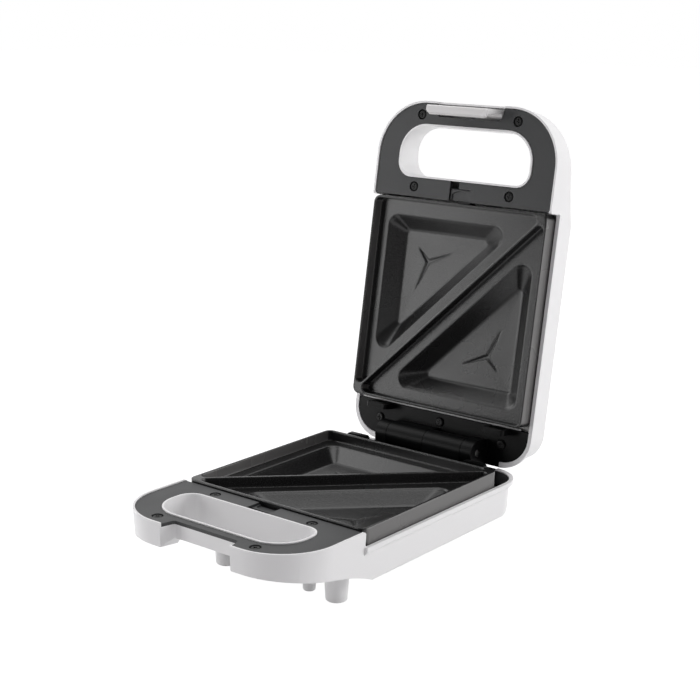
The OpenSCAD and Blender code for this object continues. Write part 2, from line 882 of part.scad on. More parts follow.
module shell_upper_half() {
    shell_half() {
        union() {}
        pivot_ears();
        union() {
            layer(-over, bay_h) bay_inside();
            layer(-over, bay_notch) bay_plan(0);
            at_places(lens_places) layer(inner_floor - over, far) circle(lens_r + lens_gap);
            pivot_hole(latch_pin_r + latch_pin_fit);
        }
    }
}

// Handle cover

// The two numbers of hole are the ends of the open part of the release's slot
module handle_cover(hole) {
    difference() {
        union() {
            layer(cover_z, cover_foot) cover_plan(0);
            at_places(screw_places) layer(cover_z, cup_foot) circle(cup_r);
        }
        layer(-over, far) opening_plan(opening_wall + cover_gap);
        layer(-over, far) bay_plan(0);
        layer(-over, far) translate([-slot_half, -release_far])
            square([2 * slot_half, release_far]);
        layer(-over, far) translate([hole[0], -slot_front - over])
            square([hole[1] - hole[0], slot_front]);
        layer(cover_z + bridge_t, far) translate([-slot_half, -slot_front - over])
            square([2 * slot_half, slot_front]);
        at_places(screw_places) {
            layer(-over, cover_seat) circle(recess_r);
            layer(-over, far) circle(shank_r + shank_hole_gap);
        }
    }
}

// Screws

module cross_screw(long) {
    edge = 0.8;
    tip = [0.5, 1];
    cross = [3.2, 0.7, 0.9];
    difference() {
        union() {
            rotate_extrude() polygon(concat(
                [[0, 0], [head_r, 0]],
                arc([head_r - edge, head_h - edge], edge, 0, 90, edge_steps),
                [[0, head_h]]
            ));
            translate([0, 0, tip[1] - long]) cylinder(h = long, r = shank_r);
            translate([0, 0, -long]) cylinder(h = tip[1], r1 = tip[0], r2 = shank_r);
        }
        for (turn = [0, 90]) rotate(turn) translate([0, 0, head_h]) cube(
            [cross[0], cross[1], 2 * cross[2]], center = true
        );
    }
}

module screws(places, seat, long) {
    at_places(places) translate([0, 0, -seat]) cross_screw(long);
}

// Plate release

module release() {
    half = slot_half - slot_gap;
    front = 0.3 - release_far;
    rib_gap = 0.6;
    web_half = nose_half + 1;
    dish_r = 1.4 * half;
    dish_rim = [0.9, 1];
    difference() {
        union() {
            layer(release_z, release_z + release_t) translate([-half, front])
                square([2 * half, -web_near - front]);
            layer(flange_z, flange_z + flange_t) translate([-half - flange_w, front])
                square([2 * (half + flange_w), -rib_front - rib_gap - front]);
            layer(release_z, nose_foot) translate([-web_half, -web_far])
                square([2 * web_half, web_far - web_near]);
            layer(nose_foot - nose_h, nose_foot) translate([-nose_half, -web_near - over])
                square([2 * nose_half, web_near + over - nose_gap]);
        }
        // Thumb dish with an arched edge
        layer(-over, release_z + dish_drop) intersection() {
            translate([0, front + dish_r + dish_rim[1]]) circle(dish_r);
            translate([dish_rim[0] - half, -release_far])
                square([2 * (half - dish_rim[0]), far]);
        }
    }
}

// Reflector and heater

module pan_plan(grow) {
    plan(
        pan_half + grow, pan_end - grow, plate_l - pan_end + grow, pan_r + grow, pan_r + grow
    );
}

module reflector() {
    edge_gap = 0.2;
    clip_y = plate_l + lug_reach + 0.3;
    clip_foot = lug_top() - edge_gap;
    wall_half = plate_half - plate_corner_r + 0.5;
    difference() {
        union() {
            layer(plate_foot, flange_foot) plan(
                well_half - 2 * edge_gap, edge_gap - step_gap, clip_y + sheet_t,
                plate_corner_r, 1
            );
            layer(plate_foot, pan_foot) pan_plan(0);
            layer(clip_foot - sheet_t, plate_foot)
                translate([-wall_half, clip_y]) square([2 * wall_half, sheet_t]);
            for (x = clip_places) layer(clip_foot - sheet_t, clip_foot)
                translate([x - clip_half, plate_l + edge_gap])
                square([2 * clip_half, clip_y - plate_l]);
        }
        layer(plate_foot - over, pan_z) pan_plan(-sheet_t);
        for (x = [-1, 1]) translate([x * heater_tail_half, 0, -heater_z]) rotate([-90, 0, 0])
            translate([0, 0, plate_mid]) cylinder(h = plate_l, r = heater_r + heater_hole_gap);
        at_places(pan_places) layer(-over, far) circle(shank_r + shank_hole_gap);
    }
}

function lug_top() = rim_top + lug_drop;

module bend(x, y, turn) {
    translate([x, y, 0]) rotate(turn) rotate_extrude(angle = 90)
        translate([heater_bend_r, 0]) circle(heater_r);
}

module bar(from, to) {
    way = to - from;
    translate([from[0], from[1], 0]) rotate([0, 90, atan2(way[1], way[0])])
        cylinder(h = norm(way), r = heater_r);
}

module heater() {
    r = heater_bend_r;
    front = heater_end;
    rear = plate_l - heater_end;
    tail = plate_l + heater_tail;
    translate([0, 0, -heater_z]) {
        bar([-heater_half + r, front], [heater_half - r, front]);
        for (s = [-1, 1]) {
            bend(s * (heater_half - r), front + r, s > 0 ? 270 : 180);
            bar([s * heater_half, front + r], [s * heater_half, rear - r]);
            bend(s * (heater_half - r), rear - r, s > 0 ? 0 : 90);
            bar([s * (heater_half - r), rear], [s * (heater_tail_half + r), rear]);
            bend(s * (heater_tail_half + r), rear + r, s > 0 ? 180 : 270);
            bar([s * heater_tail_half, rear + r], [s * heater_tail_half, tail]);
            translate([s * heater_tail_half, tail, 0]) rotate([-90, 0, 0])
                cylinder(h = heater_pin_l, r = heater_pin_r);
        }
    }
}

// Rear frame with its knuckles

module knuckle(from, to) {
    translate([from, hinge_y, 0]) rotate([0, 90, 0]) cylinder(h = to - from, r = barrel_r);
    root = 0.5;
    translate([from, hinge_y - barrel_r, -frame_z - root])
        cube([to - from, 2 * barrel_r, frame_z + root]);
}

module rear_frame() {
    gap = knuckle_gap / 2;
    difference() {
        union() {
            layer(frame_z, ledge_z) intersection() {
                plan(
                    well_half - frame_side_gap, -far, well_rear - frame_side_gap, 1,
                    well_r - frame_side_gap
                );
                translate([-far, frame_front]) square([2 * far, far]);
            }
            layer(frame_z, tongue_foot)
                translate([-tongue_half, tongue_start + frame_side_gap])
                square([2 * tongue_half, lip_rear - tongue_start - frame_side_gap]);
            knuckle(-barrel_half, -knuckle_split - gap);
            knuckle(gap, knuckle_split - gap);
            for (s = [-1, 1]) translate([s * (post_near + post_l / 2), post_y, 0])
                stop_post();
        }
        translate([-barrel_half - over, hinge_y, 0]) rotate([0, 90, 0])
            cylinder(h = 2 * barrel_half + 2 * over, r = pin_r + pin_gap);
        at_places(frame_places) {
            layer(-over, frame_seat) circle(recess_r);
            layer(-over, far) circle(shank_r + shank_hole_gap);
        }
    }
}

// A post that keeps the plate from sliding back
module stop_post() {
    r = 2;
    translate([0, post_t, 0]) rotate([90, 0, 0]) linear_extrude(post_t) soft_outline(
        [[-post_l / 2, -ledge_z], [post_l / 2, -ledge_z], [post_l / 2, -post_top],
            [-post_l / 2, -post_top]],
        [0.5, 0.5, r, r]
    );
}

module pin_along(long, r) {
    edge = 0.5;
    translate([-long / 2, 0, 0]) rotate([0, 90, 0]) rotate_extrude() polygon([
        [0, 0], [r - edge, 0], [r, edge], [r, long - edge], [r - edge, long], [0, long]
    ]);
}

// Latch

module pivot_hole(r) {
    reach = bay_front_half + pivot_ear + over;
    translate([-reach, pivot_y, -pivot_h]) rotate([0, 90, 0]) cylinder(h = 2 * reach, r = r);
}

// Side profile of the latch when latched, in the shut toaster's frame
module latch_profile() {
    straight = 3;
    lead = [1.2, 1.1];
    heel = [0.6, 0.8];
    back = pivot_y - pivot_barrel_r;
    inner = -bay_far - 0.7;
    heel_y = inner - 3.8;
    tip = -bay_far + hook_reach;
    polygon([
        [back, pivot_h],
        [back, pivot_h - straight],
        [heel_y, -hook_foot + heel[1]],
        [heel_y + heel[0], -hook_foot],
        [tip - lead[0], -hook_foot],
        [tip, -hook_foot + lead[1]],
        [tip, -hook_top],
        [inner, -hook_top],
        [inner - latch_t + 0.9, -hook_top + straight],
        [back + latch_t, pivot_h - straight],
        [pivot_y, pivot_h]
    ]);
}

module latch_form() {
    end_cut = 3.5;
    difference() {
        union() {
            across(latch_half) latch_profile();
            translate([-latch_half, pivot_y, pivot_h]) rotate([0, 90, 0])
                cylinder(h = 2 * latch_half, r = pivot_barrel_r);
        }
        translate([-latch_half - over, pivot_y, pivot_h]) rotate([0, 90, 0])
            cylinder(h = 2 * latch_half + 2 * over, r = latch_pin_r + latch_pin_gap);
        // Both ends of the hook are cut back to clear the bay's corners
        for (s = [-1, 1]) translate([s * latch_half, -bay_far + hook_reach, -far / 2])
            rotate(45) cube([end_cut, end_cut, far], center = true);
    }
}

// Small parts

module lenses() {
    at_places(lens_places) {
        layer(inner_floor - lens_flange[1], inner_floor) circle(lens_r + lens_flange[0]);
        layer(inner_floor, shell_depth + lens_proud) circle(lens_r);
    }
}

module thermostat_body() {
    translate([thermostat_x, plate_mid, 0]) {
        layer(pan_foot, pan_foot + thermostat_base[2])
            square([thermostat_base[0], thermostat_base[1]], center = true);
        layer(pan_foot, inner_floor - thermostat_gap) circle(thermostat_r);
    }
}

module terminals() {
    top = inner_floor - block[2];
    wire_top = top + 3.5;
    wire_foot = top + 6;
    translate([block_x, plate_l + block_far, 0]) difference() {
        layer(top, inner_floor) square([block[0], block[1]], center = true);
        for (x = [-1, 0, 1]) translate([x * block_pitch, 0, 0]) {
            layer(top - over, wire_top + 0.5) circle(block_hole / 2);
            layer(wire_top, wire_foot) square([block_hole, 3 * block[1]], center = true);
        }
    }
}

// Frame of the cord's hole: z points out of the sloping rear wall
module cord_entry() {
    out = wall_rear - cord_drop * tan(draft);
    translate([-cord_left, out, -cord_drop]) rotate([-90 - draft, 0, 0]) children();
}

module gland() {
    rib_t = 1.6;
    rib_out = 0.6;
    rib_taper = 0.25;
    tip_wall = 1.2;
    inside = wall_t + 2;
    seat = 0.02;
    neck_gap = 0.5;
    cord_entry() difference() {
        union() {
            translate([0, 0, -inside]) cylinder(h = inside + 1, r = gland_r - gland_gap);
            translate([0, 0, seat]) cylinder(h = gland_flange[1], r = gland_r + gland_flange[0]);
            translate([0, 0, gland_flange[1]])
                cylinder(h = relief_l, r1 = gland_r, r2 = cord_r + tip_wall);
            for (k = [0:4]) translate([0, 0, 2 * gland_flange[1] + k * relief_l / 6])
                cylinder(h = rib_t, r = gland_r + rib_out - k * rib_taper);
        }
        translate([0, 0, gland_neck]) cylinder(h = relief_l + 3, r = cord_r);
        translate([0, 0, -inside - over])
            cylinder(h = inside + over + gland_neck, r = cord_r + neck_gap);
    }
}

// Places

// Shut frame to the frame of the floor under the middle of the open toaster
module on_floor() {
    translate([0, -mid_y, floor_z]) children();
}

module in_lid() {
    on_floor() translate([0, hinge_y, 0]) rotate([shut_turn, 0, 0])
        translate([0, -hinge_y, 0]) children();
}

module turned_over() {
    in_lid() rotate([0, 180, 0]) children();
}

module lower_shell() { color("white") on_floor() shell_lower_half(); }
module lower_cover() {
    color("dimgray") on_floor() handle_cover([-slot_half, slot_half]);
}
module lower_cover_screws() {
    color("black") on_floor() screws(screw_places, cover_seat, shank_l);
}
module lower_release() { color("dimgray") on_floor() release(); }
module lower_plate() { color("gray") on_floor() cooking_plate(); }
module lower_reflector() { color("silver") on_floor() reflector(); }
module lower_reflector_screws() {
    color("silver") on_floor() screws(pan_places, pan_z, pan_shank_l);
}
module lower_heater() { color("darkgray") on_floor() heater(); }
module lower_frame() { color("black") on_floor() rear_frame(); }
module lower_frame_screws() {
    color("black") on_floor() screws(frame_places, frame_seat, shank_l);
}
module hinge_pin() {
    color("silver") on_floor() translate([0, hinge_y, 0])
        pin_along(2 * barrel_half - 1, pin_r);
}
module terminal_block() { color("ivory") on_floor() terminals(); }
module cord_gland() { color("black") on_floor() gland(); }

module upper_shell() { color("white") turned_over() shell_upper_half(); }
module upper_cover() {
    color("dimgray") turned_over() handle_cover([bridge_end, slot_half]);
}
module upper_cover_screws() {
    color("black") turned_over() screws(screw_places, cover_seat, shank_l);
}
module upper_release() { color("dimgray") turned_over() release(); }
module upper_plate() { color("gray") turned_over() cooking_plate(); }
module upper_reflector() { color("silver") turned_over() reflector(); }
module upper_reflector_screws() {
    color("silver") turned_over() screws(pan_places, pan_z, pan_shank_l);
}
module upper_heater() { color("darkgray") turned_over() heater(); }
module upper_frame() { color("black") turned_over() rear_frame(); }
module upper_frame_screws() {
    color("black") turned_over() screws(frame_places, frame_seat, shank_l);
}
module thermostat() { color("silver") turned_over() thermostat_body(); }
module lamp_lenses() { color("red") turned_over() lenses(); }
module latch_pin() {
    color("silver") in_lid() translate([0, pivot_y, pivot_h])
        pin_along(2 * (bay_front_half + pivot_ear), latch_pin_r);
}
module latch() {
    color("gainsboro") in_lid() translate([0, pivot_y, pivot_h]) rotate([-latch_rest, 0, 0])
        translate([0, -pivot_y, -pivot_h]) latch_form();
}

lower_shell();
lower_cover();
lower_cover_screws();
lower_release();
lower_plate();
lower_reflector();
lower_reflector_screws();
lower_heater();
lower_frame();
lower_frame_screws();
hinge_pin();
terminal_block();
cord_gland();
upper_shell();
upper_cover();
upper_cover_screws();
upper_release();
upper_plate();
upper_reflector();
upper_reflector_screws();
upper_heater();
upper_frame();
upper_frame_screws();
thermostat();
lamp_lenses();
latch_pin();
latch();
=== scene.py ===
import json
import math
import bpy
from mathutils import Matrix, Vector

# Sandwich toaster, open: finishes for its moulded, cast and pressed pieces, and the studio

MM = 0.001

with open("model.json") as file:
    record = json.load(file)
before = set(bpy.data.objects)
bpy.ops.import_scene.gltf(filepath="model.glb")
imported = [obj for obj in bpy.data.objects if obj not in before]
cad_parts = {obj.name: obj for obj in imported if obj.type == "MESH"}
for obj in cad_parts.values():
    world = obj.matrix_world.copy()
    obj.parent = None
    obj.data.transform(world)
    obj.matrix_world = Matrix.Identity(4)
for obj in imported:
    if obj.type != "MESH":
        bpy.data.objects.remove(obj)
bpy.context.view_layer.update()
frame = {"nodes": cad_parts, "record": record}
cad = frame["nodes"]

# Camera, worked out from the perspective of the plates and shells
CAMERA_PLACE = Vector((0.50655, -0.65078, 0.32448))
CAMERA_AZIMUTH = math.radians(38.03)
CAMERA_HEIGHT_ANGLE = math.radians(13.70)
CAMERA_ROLL = math.radians(0.91)
CAMERA_LENS = 74.86
CAMERA_SENSOR = 36.0
CAMERA_CLIP_START = 0.01


def add_camera():
    """The camera at the photograph's angle."""
    flat = math.cos(CAMERA_HEIGHT_ANGLE)
    back = Vector((
        math.sin(CAMERA_AZIMUTH) * flat,
        -math.cos(CAMERA_AZIMUTH) * flat,
        math.sin(CAMERA_HEIGHT_ANGLE),
    ))
    level = Vector((0, 0, 1)).cross(back).normalized()
    upright = back.cross(level)
    right = math.cos(CAMERA_ROLL) * level + math.sin(CAMERA_ROLL) * upright
    up = math.cos(CAMERA_ROLL) * upright - math.sin(CAMERA_ROLL) * level
    data = bpy.data.cameras.new("camera")
    data.lens = CAMERA_LENS
    data.sensor_width = CAMERA_SENSOR
    data.clip_start = CAMERA_CLIP_START
    camera = bpy.data.objects.new("camera", data)
    bpy.context.scene.collection.objects.link(camera)
    turn = Matrix((right, up, back)).transposed()
    camera.matrix_world = Matrix.Translation(CAMERA_PLACE) @ turn.to_4x4()
    bpy.context.scene.camera = camera


def add_node(tree, kind, inputs=None, **settings):
    """A node with its settings, and its inputs as plain values or other nodes' outputs."""
    node = tree.nodes.new(kind)
    for name, value in settings.items():
        setattr(node, name, value)
    for label, value in (inputs or {}).items():
        if isinstance(value, bpy.types.NodeSocket):
            tree.links.new(value, node.inputs[label])
        else:
            node.inputs[label].default_value = value
    return node


def calculate(tree, operation, *values, clamp=False):
    """The result of a sum or comparison on numbers."""
    inputs = dict(enumerate(values))
    return add_node(tree, "ShaderNodeMath", inputs, operation=operation, use_clamp=clamp).outputs[0]


def dot_product(tree, first, second):
    """1 where two unit directions agree, 0 where they are square to each other."""
    inputs = {0: first, 1: second}
    node = add_node(tree, "ShaderNodeVectorMath", inputs, operation="DOT_PRODUCT")
    return node.outputs["Value"]


def map_range(tree, value, low, high, from_low=0.0, from_high=1.0):
    """A value between from_low and from_high, stretched onto the range low to high."""
    inputs = {
        "Value": value, "From Min": from_low, "From Max": from_high, "To Min": low, "To Max": high
    }
    return add_node(tree, "ShaderNodeMapRange", inputs, clamp=True).outputs["Result"]


def add_noise(tree, place, detail, roughness=0.5):
    """Noise with one wave to each unit of place."""
    inputs = {"Vector": place, "Scale": 1.0, "Detail": detail, "Roughness": roughness}
    return add_node(tree, "ShaderNodeTexNoise", inputs).outputs[0]


def scaled_place(tree, scale):
    """The point on the object in metres, times the waves to a metre."""
    place = add_node(tree, "ShaderNodeTexCoord").outputs["Object"]
    inputs = {0: place, "Scale": scale}
    return add_node(tree, "ShaderNodeVectorMath", inputs, operation="SCALE").outputs[0]


def grey(value, warmth=0.0):
    """A grey in linear light, warmer where warmth is above zero."""
    return (value * (1 + warmth), value, value * (1 - warmth), 1.0)


def new_group(name, inputs, outputs):
    """An empty node group of numbers, with the sockets inside it that give and take them."""
    group = bpy.data.node_groups.new(name, "ShaderNodeTree")
    for label, start in inputs.items():
        socket = group.interface.new_socket(label, in_out="INPUT", socket_type="NodeSocketFloat")
        socket.default_value = start
    for label in outputs:
        group.interface.new_socket(label, in_out="OUTPUT", socket_type="NodeSocketFloat")
    given = group.nodes.new("NodeGroupInput").outputs
    taken = group.nodes.new("NodeGroupOutput").inputs
    return group, given, taken


def make_grain():
    """Moulded grain: a height for bump and a mask of its highest specks."""
    speck_starts, speck_full = 0.58, 0.72
    group, given, taken = new_group(
        "moulded_grain", {"Scale": 2500.0, "Detail": 2.0}, ("Height", "Speckle")
    )
    noise = add_noise(group, scaled_place(group, given["Scale"]), given["Detail"], 0.6)
    specks = map_range(group, noise, 0.0, 1.0, speck_starts, speck_full)
    group.links.new(noise, taken["Height"])
    group.links.new(specks, taken["Speckle"])
    return group


def make_smudges():
    """Broad uneven gloss from handling and wiping, as a value between Low and High."""
    wiped_clean, smudged = 0.15, 0.85
    group, given, taken = new_group(
        "wiped_smudges", {"Scale": 40.0, "Low": 0.3, "High": 0.4}, ("Value", "Mask")
    )
    noise = add_noise(group, scaled_place(group, given["Scale"]), 3.0)
    mask = map_range(group, noise, 0.0, 1.0, wiped_clean, smudged)
    value = map_range(group, mask, given["Low"], given["High"])
    group.links.new(value, taken["Value"])
    group.links.new(mask, taken["Mask"])
    return group


def make_worn_edges():
    """A mask that is 1 on outer edges, broken up by noise, for wear and rubbed gloss."""
    flat_match, edge_match = 0.995, 0.86
    unworn, rubbed = 0.42, 0.62
    group, given, taken = new_group(
        "worn_edges", {"Radius": 0.6 * MM, "Amount": 1.0, "Breakup": 700.0}, ("Mask",)
    )
    rounded = add_node(group, "ShaderNodeBevel", {"Radius": given["Radius"]}, samples=4)
    plain = add_node(group, "ShaderNodeNewGeometry")
    match = dot_product(group, rounded.outputs[0], plain.outputs["Normal"])
    edge = map_range(group, match, 1.0, 0.0, edge_match, flat_match)
    noise = add_noise(group, scaled_place(group, given["Breakup"]), 3.0)
    broken = map_range(group, noise, 0.0, 1.0, unworn, rubbed)
    worn = calculate(group, "MULTIPLY", edge, broken)
    amount = calculate(group, "MULTIPLY", worn, given["Amount"], clamp=True)
    group.links.new(amount, taken["Mask"])
    return group


GRAIN = make_grain()
SMUDGES = make_smudges()
WORN_EDGES = make_worn_edges()


# The Mix node's colour sockets, which share their names with its number sockets
MIX_FIRST, MIX_SECOND, MIX_RESULT = 6, 7, 2


class Finish:
    """One material with its shader, and short ways to feed it."""

    def __init__(self, name, **constants):
        self.material = bpy.data.materials.new(name)
        self.material.use_nodes = True
        self.tree = self.material.node_tree
        self.shader = self.tree.nodes["Principled BSDF"]
        for label, value in constants.items():
            self.shader.inputs[label.replace("_", " ")].default_value = value

    def group(self, group, **inputs):
        """The outputs of a shared effect, placed with this material's own values."""
        return add_node(self.tree, "ShaderNodeGroup", inputs, node_tree=group).outputs

    def stretched_noise(self, scale, stretch, detail):
        """Noise whose waves are drawn out along an axis by a small share of stretch."""
        place = add_node(self.tree, "ShaderNodeTexCoord").outputs["Object"]
        inputs = {0: place, 1: [scale * share for share in stretch]}
        drawn = add_node(self.tree, "ShaderNodeVectorMath", inputs, operation="MULTIPLY")
        return add_noise(self.tree, drawn.outputs[0], detail)

    def steep_sides(self, low, high):
        """1 on walls that face left or right, 0 where a wall leans over by more than low."""
        normal = add_node(self.tree, "ShaderNodeTexCoord").outputs["Normal"]
        parts = add_node(self.tree, "ShaderNodeSeparateXYZ", {0: normal})
        sideways = calculate(self.tree, "ABSOLUTE", parts.outputs["X"])
        return self.range(sideways, 0.0, 1.0, low, high)

    def mix(self, share, first, second):
        """The first colour where share is 0, the second where it is 1."""
        inputs = {"Factor": share, MIX_FIRST: first, MIX_SECOND: second}
        return add_node(self.tree, "ShaderNodeMix", inputs, data_type="RGBA").outputs[MIX_RESULT]

    def range(self, value, low, high, from_low=0.0, from_high=1.0):
        return map_range(self.tree, value, low, high, from_low, from_high)

    def feed(self, label, socket):
        """Lets a socket drive one input of the material's shader."""
        self.tree.links.new(socket, self.shader.inputs[label])

    def bump(self, *layers, eased=0.0):
        """Bumps over each other, each a height with its depth, on edges eased by a radius."""
        below = {}
        if eased:
            rounded = add_node(self.tree, "ShaderNodeBevel", {"Radius": eased}, samples=12)
            below = {"Normal": rounded.outputs[0]}
        for height, depth in layers:
            inputs = {"Height": height, "Distance": depth, **below}
            below = {"Normal": add_node(self.tree, "ShaderNodeBump", inputs).outputs[0]}
        self.feed("Normal", below["Normal"])


# Finishes: tones are in linear light, and noise scales in waves to a metre


def moulded_gloss(name, tone, warmth, dull):
    """Glossy white moulding: faint orange peel, wiped patches and rubbed edges."""
    finish = Finish(name, IOR=1.5)
    clean = grey(tone, warmth)
    wiped = grey(tone * 0.985, warmth + 0.004)
    rubbed = grey(tone * 1.04, warmth)
    smudge = finish.group(SMUDGES, Scale=28.0, Low=dull, High=dull + 0.05)
    peel = finish.group(GRAIN, Scale=420.0, Detail=2.0)
    fine = finish.group(GRAIN, Scale=2600.0, Detail=1.0)
    worn = finish.group(WORN_EDGES, Radius=0.7 * MM, Amount=0.5)
    body = finish.mix(smudge["Mask"], clean, wiped)
    finish.feed("Base Color", finish.mix(worn["Mask"], body, rubbed))
    finish.feed("Roughness", smudge["Value"])
    finish.bump((peel["Height"], 0.012 * MM), (fine["Height"], 0.006 * MM))
    return finish.material


def moulded_satin(name, tone, dull, grain_scale, shine):
    """Dark satin moulding with a spark-eroded grain that rubs glossy on its edges."""
    finish = Finish(name, IOR=1.5, Specular_IOR_Level=shine)
    deep, pale = grey(tone * 0.92, -0.03), grey(tone * 1.1, -0.03)
    speck = grey(tone * 1.5, -0.02)
    rubbed, rubbed_dull = grey(tone * 2.2, -0.01), dull - 0.12
    smudge = finish.group(SMUDGES, Scale=45.0, Low=dull, High=dull + 0.1)
    grain = finish.group(GRAIN, Scale=grain_scale, Detail=2.5)
    worn = finish.group(WORN_EDGES, Radius=0.4 * MM, Amount=0.8)
    body = finish.mix(smudge["Mask"], deep, pale)
    specked = finish.mix(grain["Speckle"], body, speck)
    finish.feed("Base Color", finish.mix(worn["Mask"], specked, rubbed))
    finish.feed("Roughness", finish.range(worn["Mask"], smudge["Value"], rubbed_dull))
    finish.bump((grain["Height"], 0.03 * MM))
    return finish.material


def non_stick_coating():
    """Dark coating sprayed on the casting, with a painted sheen on its steep walls that face left
    or right.
    """
    finish = Finish("plate_coating", IOR=1.5)
    deep, pale, speck = grey(0.009), grey(0.014), grey(0.03)
    # The pale grey for walls that face left or right is a painted sheen for the light those walls
    # catch; the other grey is rubbed wear on edges.
    painted_side_sheen, rubbed = grey(0.11, 0.02), grey(0.12, 0.03)
    smudge = finish.group(SMUDGES, Scale=22.0, Low=0.24, High=0.30)
    pebble = finish.group(GRAIN, Scale=1100.0, Detail=2.0)
    flakes = finish.group(GRAIN, Scale=2600.0, Detail=1.0)
    worn = finish.group(WORN_EDGES, Radius=0.5 * MM, Amount=0.7, Breakup=900.0)
    body = finish.mix(smudge["Mask"], deep, pale)
    specked = finish.mix(flakes["Speckle"], body, speck)
    # Walls that face left or right take the pale painted sheen.
    walls = finish.mix(finish.steep_sides(low=0.86, high=0.97), specked, painted_side_sheen)
    finish.feed("Base Color", finish.mix(worn["Mask"], walls, rubbed))
    finish.feed("Roughness", smudge["Value"])
    finish.bump((pebble["Height"], 0.07 * MM), (flakes["Height"], 0.02 * MM), eased=1.8 * MM)
    return finish.material


def drawn_steel(name, tone, dull, stretch, warmth=0.0):
    """Bare steel with lines along the way it was rolled or drawn."""
    finish = Finish(name, Metallic=1.0)
    clean, stained = grey(tone, warmth), grey(tone * 0.86, warmth + 0.02)
    groove, groove_share = grey(tone * 0.7), 0.5
    groove_starts, groove_full = 0.35, 0.7
    lines = finish.stretched_noise(2400.0, stretch, 2.0)
    patches = finish.group(SMUDGES, Scale=60.0, Low=dull, High=dull + 0.12)
    body = finish.mix(patches["Mask"], clean, stained)
    grooves = finish.range(lines, 0.0, groove_share, groove_starts, groove_full)
    finish.feed("Base Color", finish.mix(grooves, body, groove))
    finish.feed("Roughness", patches["Value"])
    finish.bump((lines, 0.02 * MM))
    return finish.material


def black_zinc():
    """Blackened screw heads, rubbed bright in spots."""
    finish = Finish("screw_black", Metallic=0.3, Specular_IOR_Level=0.25)
    blackened, rubbed = grey(0.010), grey(0.20)
    smudge = finish.group(SMUDGES, Scale=500.0, Low=0.32, High=0.5)
    worn = finish.group(WORN_EDGES, Radius=0.3 * MM, Amount=0.9, Breakup=2500.0)
    finish.feed("Base Color", finish.mix(worn["Mask"], blackened, rubbed))
    finish.feed("Roughness", smudge["Value"])
    finish.bump((smudge["Mask"], 0.02 * MM))
    return finish.material


def matt_with_specks(name, clean, dusty, speck, scales, dull, duller):
    """Matt grainy material with dust on it and specks in it."""
    finish = Finish(name, IOR=1.5)
    grain_scale, dust_scale = scales
    grain = finish.group(GRAIN, Scale=grain_scale, Detail=3.0)
    smudge = finish.group(SMUDGES, Scale=dust_scale, Low=dull, High=duller)
    body = finish.mix(smudge["Mask"], clean, dusty)
    finish.feed("Base Color", finish.mix(grain["Speckle"], body, speck))
    finish.feed("Roughness", smudge["Value"])
    finish.bump((grain["Height"], 0.04 * MM))
    return finish.material


def unglazed_ceramic():
    """Off-white ceramic of the terminal block."""
    return matt_with_specks(
        "block_ceramic", grey(0.66, 0.04), grey(0.58, 0.06), grey(0.5, 0.08),
        scales=(3200.0, 120.0), dull=0.6, duller=0.75,
    )


def soft_rubber():
    """Black rubber of the cord gland."""
    return matt_with_specks(
        "gland_black", grey(0.018), grey(0.032), grey(0.045),
        scales=(1500.0, 90.0), dull=0.55, duller=0.72,
    )


def lens_plastic():
    """Clear red lens, deeper in colour in uneven patches."""
    finish = Finish("lens_red", IOR=1.49, Transmission_Weight=0.2)
    bright, deep = (0.55, 0.02, 0.015, 1.0), (0.4, 0.01, 0.01, 1.0)
    smudge = finish.group(SMUDGES, Scale=300.0, Low=0.08, High=0.2)
    finish.feed("Base Color", finish.mix(smudge["Mask"], bright, deep))
    finish.feed("Roughness", smudge["Value"])
    finish.bump((smudge["Mask"], 0.04 * MM))
    return finish.material


# The steel was drawn along Y, apart from the hinge pin, which was drawn along X
FINISHES = {
    "shell_white": moulded_gloss("shell_white", tone=0.84, warmth=0.0, dull=0.27),
    "latch_white": moulded_gloss("latch_white", tone=0.77, warmth=0.01, dull=0.24),
    "cover_charcoal": moulded_satin(
        "cover_charcoal", tone=0.032, dull=0.40, grain_scale=2600.0, shine=0.42
    ),
    "frame_black": moulded_satin(
        "frame_black", tone=0.003, dull=0.30, grain_scale=1900.0, shine=0.12
    ),
    "plate_coating": non_stick_coating(),
    "reflector_steel": drawn_steel("reflector_steel", tone=0.26, dull=0.42, stretch=(1, 0.03, 1)),
    "heater_steel": drawn_steel(
        "heater_steel", tone=0.22, dull=0.4, stretch=(1, 0.1, 1), warmth=0.08
    ),
    "screw_black": black_zinc(),
    "pin_steel": drawn_steel("pin_steel", tone=0.58, dull=0.26, stretch=(0.04, 1, 1)),
    "block_ceramic": unglazed_ceramic(),
    "lens_red": lens_plastic(),
    "gland_black": soft_rubber(),
}

# Widths of the small round on every edge, in millimetres: the heaters are round already
EDGE_ROUND = {
    "shell_white": 0.45,
    "latch_white": 0.35,
    "cover_charcoal": 0.25,
    "frame_black": 0.3,
    "plate_coating": 0.35,
    "reflector_steel": 0.12,
    "screw_black": 0.1,
    "pin_steel": 0.1,
    "block_ceramic": 0.3,
    "lens_red": 0.2,
    "gland_black": 0.25,
}
SHARP_ANGLE = math.radians(32)
WELD_GAP = 0.004 * MM
ROUND_SEGMENTS = 2
BIG_FACES_WEIGHT = 60


